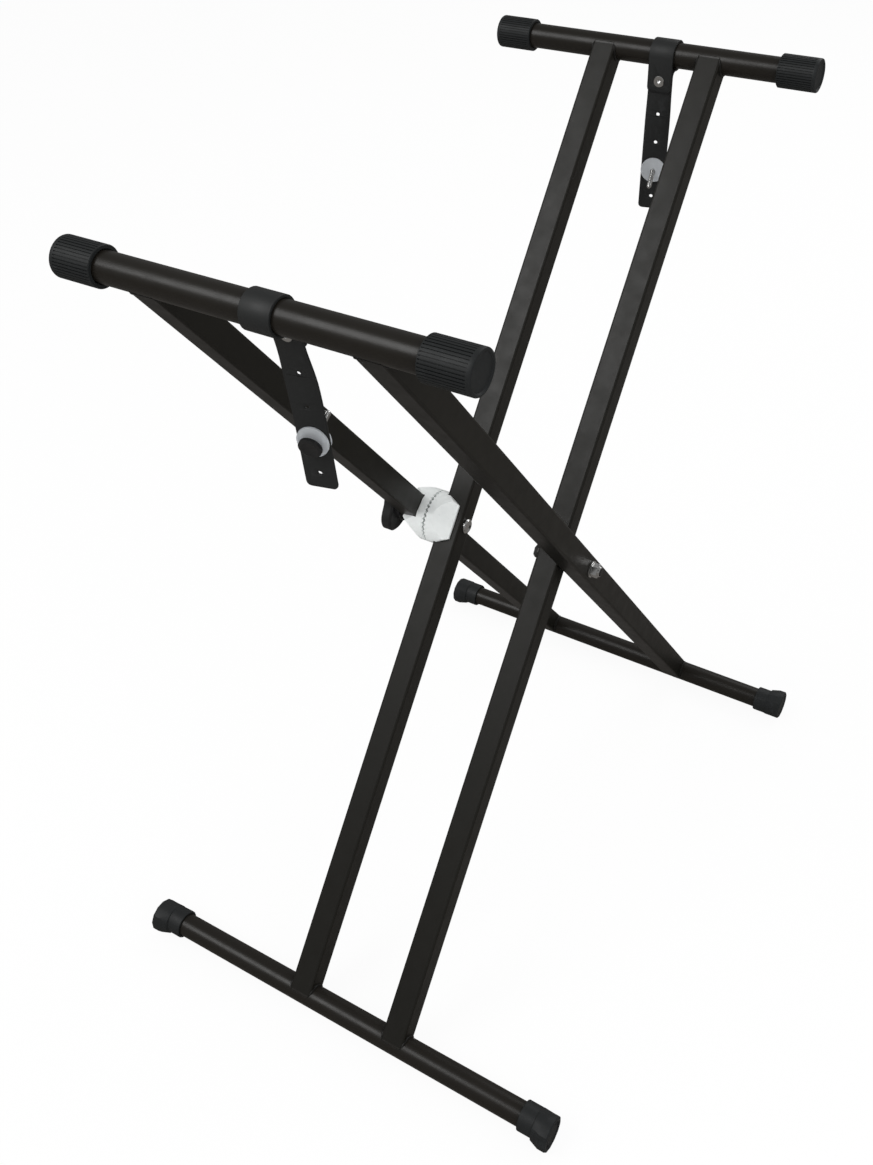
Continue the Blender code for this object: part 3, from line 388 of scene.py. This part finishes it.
def settle(piece: bpy.types.Object, finish: Finish, body: str, slot: str, *replaced: str) -> None:
    """Gives a finished piece its material and body, and hides the nodes that it stands for."""
    piece.data.materials.clear()
    piece.data.materials.append(finish.material())
    if replaced:
        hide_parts(*replaced)
    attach(piece, body)
    LOG.info("%s rides on %s", piece.name, body)


def node_centre(node: str) -> Vector:
    """The middle of a node's box."""
    low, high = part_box(node)
    return (low + high) / 2


@dataclass
class FrameBars:
    """The two round bars of one welded frame, and where they lie."""

    name: str
    segments: int = 96
    wall: float = 0.0015
    chamfer: float = 0.0004

    @property
    def body(self) -> str:
        """The frame's body."""
        return f"{self.name}_frame"

    def centre(self, end: str) -> Vector:
        """The middle of the top or foot bar."""
        return node_centre(f"{self.name}_{end}_bar")

    def radius(self) -> float:
        """The bars' radius."""
        low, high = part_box(f"{self.name}_top_bar")
        return (high.z - low.z) / 2

    def along(self) -> Vector:
        """The direction up the frame's tubes."""
        return (self.centre("top") - self.centre("foot")).normalized()

    def build(self) -> None:
        """Makes both bars, round and hollow."""
        for end in ("top", "foot"):
            node = f"{self.name}_{end}_bar"
            low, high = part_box(node)
            radius = self.radius()
            length = high.x - low.x
            bore = radius - self.wall
            profile = [(radius - self.chamfer, 0.0), (radius, self.chamfer), (radius, length - self.chamfer),
                       (radius - self.chamfer, length), (bore, length), (bore, 0.0)]
            piece = lathe(f"{node}_round", profile, self.segments, closed=True)
            apply_place(piece, Vector((low.x, self.centre(end).y, self.centre(end).z)), X_AXIS, Vector((0, 0, 1)))
            smooth(piece)
            settle(piece, BAR_PAINT, self.body, "bar_paint", node)


@dataclass
class Welds:
    """The painted weld beads where one frame's square tubes meet its bars."""

    bars: FrameBars
    bead: float = 0.0017
    thinnest: float = 0.12  # share of the bead left on the faces that meet the bar's edge
    ripple: float = 0.0002
    ripple_size: float = 0.0028
    points_a_side: int = 14
    tube_corner: float = 0.0022

    def outline(self, width: float) -> list[tuple[float, float]]:
        """Points round a square tube's outside, as offsets along X and across the tube."""
        half = width / 2
        straight = half - self.tube_corner
        points = []
        for quarter in range(4):
            turn = Matrix.Rotation(quarter * math.pi / 2, 2)
            for step in range(self.points_a_side):
                points.append(turn @ Vector((half, straight * (2 * step / (self.points_a_side - 1) - 1))))
            for degrees in (22.5, 45.0, 67.5):
                angle = math.radians(degrees)
                corner = Vector((straight, straight))
                points.append(turn @ (corner + self.tube_corner * Vector((math.cos(angle), math.sin(angle)))))
        return [(point.x, point.y) for point in points]

    def build(self) -> None:
        """Makes one bead at each end of each tube."""
        along = self.bars.along()
        across = X_AXIS.cross(along)
        radius = self.bars.radius()
        for side in ("left", "right"):
            low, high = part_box(f"{self.bars.name}_tube_{side}")
            middle = (low.x + high.x) / 2
            for end, toward in (("top", -1.0), ("foot", 1.0)):
                seat = self.bars.centre(end)
                route = []
                shares = []
                for offset, lateral in self.outline(high.x - low.x):
                    reach = math.sqrt(max(0.0, radius ** 2 - min(abs(lateral), radius) ** 2))
                    shares.append(max(self.thinnest, min(1.0, reach / radius * 1.6)))
                    place = Vector((middle + offset, seat.y, seat.z))
                    route.append(place + across * lateral + along * toward * (reach + self.bead * 0.25))
                piece = swept(f"{self.bars.name}_{side}_{end}_weld", route, self.bead, True, shares)
                self.roughen(piece)
                smooth(piece, 60.0)
                settle(piece, WELD_PAINT, self.bars.body, "tube_paint")

    def roughen(self, piece: bpy.types.Object) -> None:
        """Ripples a bead with a fine cloud pattern."""
        texture = bpy.data.textures.new(f"{piece.name}_ripple", "CLOUDS")
        texture.noise_scale = self.ripple_size
        modifier = piece.modifiers.new("ripple", "DISPLACE")
        modifier.texture = texture
        modifier.strength = self.ripple * 2
        modifier.texture_coords = "GLOBAL"
        active(piece)
        bpy.ops.object.modifier_apply(modifier=modifier.name)


@dataclass
class RibbedCaps:
    """The ribbed rubber caps on the ends of one frame's top bar."""

    bars: FrameBars
    ribs: int = 40
    groove: float = 0.0010
    plain_rim: float = 0.0034
    mouth: float = 0.0002
    end_rim: float = 0.0020
    recess: float = 0.0012
    rounding: float = 0.0012

    def build(self) -> None:
        """Makes both caps."""
        for side in Side:
            self.cap(side)

    def cap(self, side: Side) -> None:
        """Makes one cap: a hollow sleeve whose side has grooves and whose end is recessed."""
        node = f"{self.bars.name}_top_cap_{side.name.lower()}"
        low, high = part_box(node)
        length = high.x - low.x
        radius = (high.z - low.z) / 2
        bore = self.bars.radius() + 0.0003
        wall = 0.0032
        soft = self.rounding / 2
        profile = [
            (bore, length - wall), (bore, 0.0006), (bore + 0.0006, 0.0), (radius - soft, 0.0), (radius, soft),
            (radius, self.mouth + soft), (radius, length - self.plain_rim), (radius, length - self.rounding),
            (radius - self.rounding * 0.3, length - self.rounding * 0.3), (radius - self.rounding, length),
            (radius - self.end_rim, length), (radius - self.end_rim - self.recess, length - self.recess),
        ]
        piece = lathe(f"{node}_grip", profile, self.ribs * 2, closed=False)
        self.cut_grooves(piece, self.mouth + soft, length - self.plain_rim)
        direction = X_AXIS * side.value
        start = Vector((low.x if side is Side.RIGHT else high.x, node_centre(node).y, node_centre(node).z))
        apply_place(piece, start, direction, Vector((0, 0, 1)))
        smooth(piece, 32.0)
        settle(piece, CAP_RUBBER, self.bars.body, "cap_rubber", node)

    def cut_grooves(self, piece: bpy.types.Object, start: float, end: float) -> None:
        """Sinks every second strip of the side between two heights, and slopes its ends."""
        pitch = math.tau / (self.ribs * 2)
        bpy.ops.object.select_all(action="DESELECT")
        active(piece)
        bpy.ops.object.mode_set(mode="EDIT")

        def in_groove(face: bmesh.types.BMFace) -> bool:
            """True for every second strip of the side round the cap."""
            middle = face.calc_center_median()
            strip = math.floor(math.atan2(middle.y, middle.x) / pitch)
            spans = abs(middle.z - (start + end) / 2) < 0.001 and middle.xy.length > self.bars.radius() + 0.002
            return spans and strip % 2 == 0

        pick_faces(piece, in_groove)
        bpy.ops.mesh.inset(thickness=0.00025, use_individual=True)
        bpy.ops.mesh.extrude_region_shrink_fatten(TRANSFORM_OT_shrink_fatten={"value": -self.groove})
        bpy.ops.object.mode_set(mode="OBJECT")


@dataclass
class DressedStrap:
    """One rubber strap with the thumb screw and knob that it holds."""

    name: str
    thread_pitch: float = 0.0009
    thread_depth: float = 0.00028
    thread_points: int = 14
    knurls: int = 36
    edge: float = 0.0005

    def build(self) -> None:
        """Makes the strap's band, the threaded screw and the knurled knob."""
        band = node_copy(f"{self.name}_strap", f"{self.name}_strap_band")
        bevel(band, self.edge, 2, 50.0)
        smooth(band, 40.0)
        settle(band, STRAP_RUBBER, f"strap_{self.name}", "strap_rubber", f"{self.name}_strap")
        at, axis = self.screw_axis()
        self.screw(at, axis)
        self.knob(at, axis)

    def screw_axis(self) -> tuple[Vector, Vector]:
        """Where the thumb screw crosses the strap, and its direction to the tip, from its joint."""
        joint = next(j for j in frame["record"]["behaviour"]["joints"] if j["name"] == f"screw_{self.name}_turn")
        return Vector(joint["pos_m"]), Vector(joint["axis"]).normalized()

    def reach(self, node: str, at: Vector, axis: Vector) -> tuple[float, float, float]:
        """How far a node runs along the screw's axis, low and high, and its radius round it."""
        offsets = [vertex.co - at for vertex in frame["nodes"][node].data.vertices]
        along = [offset.dot(axis) for offset in offsets]
        radius = max((offset - axis * offset.dot(axis)).length for offset in offsets)
        return min(along), max(along), radius

    def screw(self, at: Vector, axis: Vector) -> None:
        """Makes the screw: a core with a helical thread wound on it and a pointed tip."""
        node = f"{self.name}_strap_screw"
        low, high, radius = self.reach(node, at, axis)
        core = radius - self.thread_depth
        length = high - low
        piece = lathe(f"{node}_core", [(core, 0.0), (core, length - 0.0012), (core * 0.55, length)], 40, closed=False)
        turns = (length - 0.002) / self.thread_pitch
        count = int(turns * self.thread_points)
        route = []
        for index in range(count + 1):
            angle = math.tau * index / self.thread_points
            height = 0.0006 + self.thread_pitch * index / self.thread_points
            route.append(Vector((core * math.cos(angle), core * math.sin(angle), height)))
        thread = swept(f"{node}_thread", route, self.thread_depth, cyclic=False)
        for part in (piece, thread):
            apply_place(part, at + axis * low, axis, X_AXIS)
            smooth(part, 50.0)
            settle(part, PLATED_STEEL, f"screw_{self.name}", "bright_steel")
        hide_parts(node)

    def knob(self, at: Vector, axis: Vector) -> None:
        """Makes the knob: a domed disc with a knurled edge and a raised boss under it."""
        node = f"{self.name}_strap_knob"
        low, high, radius = self.reach(node, at, axis)
        depth = high - low
        bore = 0.0026
        rim = radius * 0.08
        profile = [
            (bore, depth * 0.55), (bore, 0.0), (radius * 0.55, 0.0), (radius * 0.62, depth * 0.08),
            (radius - rim, depth * 0.10), (radius, depth * 0.22), (radius, depth * 0.80),
            (radius - rim, depth * 0.94), (radius * 0.78, depth), (radius * 0.70, depth), (radius * 0.62, depth * 0.90),
            (radius * 0.2, depth * 0.86),
        ]
        piece = lathe(f"{node}_cap", profile, self.knurls * 4, closed=False)
        self.knurl(piece, radius, depth)
        apply_place(piece, at + axis * high, -axis, X_AXIS)
        smooth(piece, 35.0)
        settle(piece, KNOB_PLASTIC, f"screw_{self.name}", "black_plastic", node)

    def knurl(self, piece: bpy.types.Object, radius: float, depth: float) -> None:
        """Sinks narrow grooves into the knob's edge."""
        pitch = math.tau / (self.knurls * 4)
        active(piece)
        bpy.ops.object.mode_set(mode="EDIT")

        def on_edge(face: bmesh.types.BMFace) -> bool:
            """True for one strip in four of the knob's upright edge."""
            middle = face.calc_center_median()
            strip = math.floor(math.atan2(middle.y, middle.x) / pitch)
            return middle.xy.length > radius * 0.97 and abs(middle.z - depth / 2) < depth * 0.1 and strip % 4 == 0

        pick_faces(piece, on_edge)
        bpy.ops.mesh.extrude_region_shrink_fatten(TRANSFORM_OT_shrink_fatten={"value": -0.0004})
        bpy.ops.object.mode_set(mode="OBJECT")


@dataclass
class SofterCopies:
    """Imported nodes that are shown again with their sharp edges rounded."""

    rows: Sequence[tuple[str, str, Finish, str, float]]

    def build(self) -> None:
        """Copies each node, rounds its edges and gives it its finish."""
        for node, body, finish, slot, width in self.rows:
            piece = node_copy(node, f"{node}_worked")
            bevel(piece, width, 2, 30.0)
            smooth(piece, 30.0)
            flatten_faces(piece)
            settle(piece, finish, body, slot, node)


@dataclass
class PackedFinishes:
    """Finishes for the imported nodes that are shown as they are."""

    by_slot: dict[str, Finish] = field(default_factory=lambda: {
        "tube_paint": TUBE_PAINT, "bar_paint": BAR_PAINT, "cap_rubber": CAP_RUBBER, "strap_rubber": STRAP_RUBBER,
        "cast_metal": CAST_METAL, "bright_steel": PLATED_STEEL, "dark_steel": DARK_STEEL,
        "black_plastic": KNOB_PLASTIC, "clear_plastic": CLOUDY_PLASTIC, "brass": TURNED_BRASS,
    })

    def build(self) -> None:
        """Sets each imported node's material from its slot in the record."""
        for row in frame["record"]["subparts"]:
            node = frame["nodes"][row["node"]]
            finish = self.by_slot[row["material_slot"]]
            for slot in node.material_slots:
                slot.material = finish.material()
            LOG.info("%s has %s", row["node"], finish.name)


@dataclass
class Studio:
    """The pale floor, the soft lamps and the camera at the photograph's angle."""

    photo_width: int = 873
    photo_height: int = 1165
    sensor: float = 36.0
    focal_pixels: float = 1248.86
    centre_right: float = 16.2  # pixels from the photograph's middle to its optical centre
    centre_up: float = 90.6
    camera_at: tuple[float, float, float] = (0.50642, -0.89853, 1.21834)
    yaw: float = 0.5565
    pitch: float = -0.6181
    roll: float = -0.0258
    floor_size: float = 40.0
    floor_gap: float = 0.0002
    background: float = 1.0
    ambient: float = 0.66
    mirrored_sky: float = 0.22
    mirrored_floor: tuple[float, float, float, float] = (0.080, 0.070, 0.060, 1.0)
    mirrored_share: float = 0.90

    def build(self) -> None:
        """Sets up the camera, floor, world and lamps."""
        self.camera()
        self.floor()
        self.world()
        self.lamp("key", (-1.6, -2.2, 3.0), 1.8, 46.0)
        self.lamp("fill", (2.6, -1.2, 2.0), 2.2, 34.0, mirrored=False)
        self.lamp("back", (0.6, 2.8, 2.4), 2.0, 26.0)

    def camera(self) -> None:
        """Places the camera where the photograph's perspective puts it."""
        forward = Vector((-math.sin(self.yaw) * math.cos(self.pitch),
                          math.cos(self.yaw) * math.cos(self.pitch), math.sin(self.pitch)))
        level = Vector((math.cos(self.yaw), math.sin(self.yaw), 0.0))
        upward = level.cross(forward)
        right = level * math.cos(self.roll) + upward * math.sin(self.roll)
        up = upward * math.cos(self.roll) - level * math.sin(self.roll)
        data = bpy.data.cameras.new("photo_camera")
        data.sensor_width = self.sensor
        data.sensor_fit = "AUTO"
        data.lens = self.focal_pixels / self.photo_height * self.sensor
        data.shift_x = -self.centre_right / self.photo_height
        data.shift_y = -self.centre_up / self.photo_height
        data.clip_start = 0.01
        camera = bpy.data.objects.new("photo_camera", data)
        turn = Matrix((right, up, -forward)).transposed().to_4x4()
        camera.matrix_world = Matrix.Translation(Vector(self.camera_at)) @ turn
        bpy.context.scene.collection.objects.link(camera)
        bpy.context.scene.camera = camera

    def plain_backdrop(self, shader: Shader, lit: bpy.types.NodeSocket, share: float) -> bpy.types.NodeSocket:
        """Mixes a lit surface with plain white for the camera, and with a dim floor for reflections."""
        rays = shader.add("ShaderNodeLightPath")
        mirrored = Value(shader, rays.outputs["Is Glossy Ray"])
        dim = shader.add("ShaderNodeEmission", {}, {"Color": self.mirrored_floor, "Strength": 1.0})
        floor = shader.add("ShaderNodeMixShader", {}, {0: mirrored * self.mirrored_share, 1: lit, 2: dim.outputs[0]})
        seen = Value(shader, rays.outputs["Is Camera Ray"]) + Value(shader, rays.outputs["Is Transmission Ray"])
        plain = shader.add("ShaderNodeEmission", {}, {"Color": (1, 1, 1, 1), "Strength": self.background})
        mix = shader.add("ShaderNodeMixShader", {}, {0: seen * share, 1: floor.outputs[0], 2: plain.outputs[0]})
        return mix.outputs[0]

    def floor(self) -> None:
        """Adds the pale floor just under the feet."""
        bpy.ops.object.select_all(action="DESELECT")
        bpy.ops.mesh.primitive_plane_add(size=self.floor_size, location=(0, 0, -self.floor_gap))
        floor = bpy.context.object
        floor.name = "studio_floor"
        shader = Shader("studio_floor_paint")
        shader.surface.inputs["Base Color"].default_value = (0.90, 0.90, 0.90, 1.0)
        shader.surface.inputs["Roughness"].default_value = 0.9
        out = shader.nodes["Material Output"]
        shader.links.new(self.plain_backdrop(shader, shader.surface.outputs[0], 0.93), out.inputs["Surface"])
        floor.data.materials.append(shader.material)

    def world(self) -> None:
        """Sets a soft even sky that the camera sees as white."""
        world = bpy.data.worlds.new("studio_sky")
        world.use_nodes = True
        nodes = world.node_tree.nodes
        links = world.node_tree.links
        sky = nodes["Background"]
        sky.inputs["Strength"].default_value = self.ambient
        white = nodes.new("ShaderNodeBackground")
        white.inputs["Strength"].default_value = self.background
        white.inputs["Color"].default_value = (1, 1, 1, 1)
        sky.inputs["Color"].default_value = (1, 1, 1, 1)
        faint = nodes.new("ShaderNodeBackground")
        faint.inputs["Strength"].default_value = self.mirrored_sky
        faint.inputs["Color"].default_value = (1, 1, 1, 1)
        rays = nodes.new("ShaderNodeLightPath")
        reflected = nodes.new("ShaderNodeMixShader")
        links.new(rays.outputs["Is Glossy Ray"], reflected.inputs[0])
        links.new(sky.outputs[0], reflected.inputs[1])
        links.new(faint.outputs[0], reflected.inputs[2])
        mix = nodes.new("ShaderNodeMixShader")
        links.new(rays.outputs["Is Camera Ray"], mix.inputs[0])
        links.new(reflected.outputs[0], mix.inputs[1])
        links.new(white.outputs[0], mix.inputs[2])
        links.new(mix.outputs[0], nodes["World Output"].inputs["Surface"])
        bpy.context.scene.world = world

    def lamp(self, name: str, at: tuple[float, float, float], size: float, power: float,
             mirrored: bool = True) -> None:
        """Adds one soft square lamp aimed at the middle of the stand."""
        data = bpy.data.lights.new(f"studio_{name}", "AREA")
        data.shape = "SQUARE"
        data.size = size
        data.energy = power
        lamp = bpy.data.objects.new(f"studio_{name}", data)
        lamp.visible_glossy = mirrored
        low, high = cad_box
        aim = (low + high) / 2 - Vector(at)
        lamp.matrix_world = Matrix.Translation(Vector(at)) @ aim.to_track_quat("-Z", "Y").to_matrix().to_4x4()
        bpy.context.scene.collection.objects.link(lamp)


def worked_rows() -> list[tuple[str, str, Finish, str, float]]:
    """Node, body, finish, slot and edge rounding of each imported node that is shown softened."""
    rows = [
        ("inner_clutch_casting", "inner_frame", CAST_METAL, "cast_metal", 0.0003),
        ("outer_clutch_casting", "outer_frame", CAST_METAL, "cast_metal", 0.0003),
        ("clutch_knob", "knob", KNOB_PLASTIC, "black_plastic", 0.0006),
        ("clutch_bolt", "inner_frame", PLATED_STEEL, "bright_steel", 0.0002),
        ("pivot_bolt", "inner_frame", DARK_STEEL, "dark_steel", 0.0003),
        ("pivot_nut", "outer_frame", PLATED_STEEL, "bright_steel", 0.0003),
        ("pivot_spacer", "inner_frame", KNOB_PLASTIC, "black_plastic", 0.0003),
    ]
    for frame_name in ("inner", "outer"):
        for side in Side:
            end = side.name.lower()
            rows.append((f"{frame_name}_foot_cap_{end}", f"foot_{frame_name}_{end}", CAP_RUBBER, "cap_rubber", 0.0004))
    return rows


def main() -> None:
    """Builds the whole scene, one sub-assembly after another."""
    logging.basicConfig(level=logging.INFO, format="%(message)s")
    bpy.context.scene.view_settings.view_transform = "Standard"
    PackedFinishes().build()
    for name in ("inner", "outer"):
        bars = FrameBars(name)
        bars.build()
        Welds(bars).build()
        RibbedCaps(bars).build()
    SofterCopies(worked_rows()).build()
    for name in ("front", "rear"):
        DressedStrap(name).build()
    Studio().build()


if __name__ == "__main__":
    main()
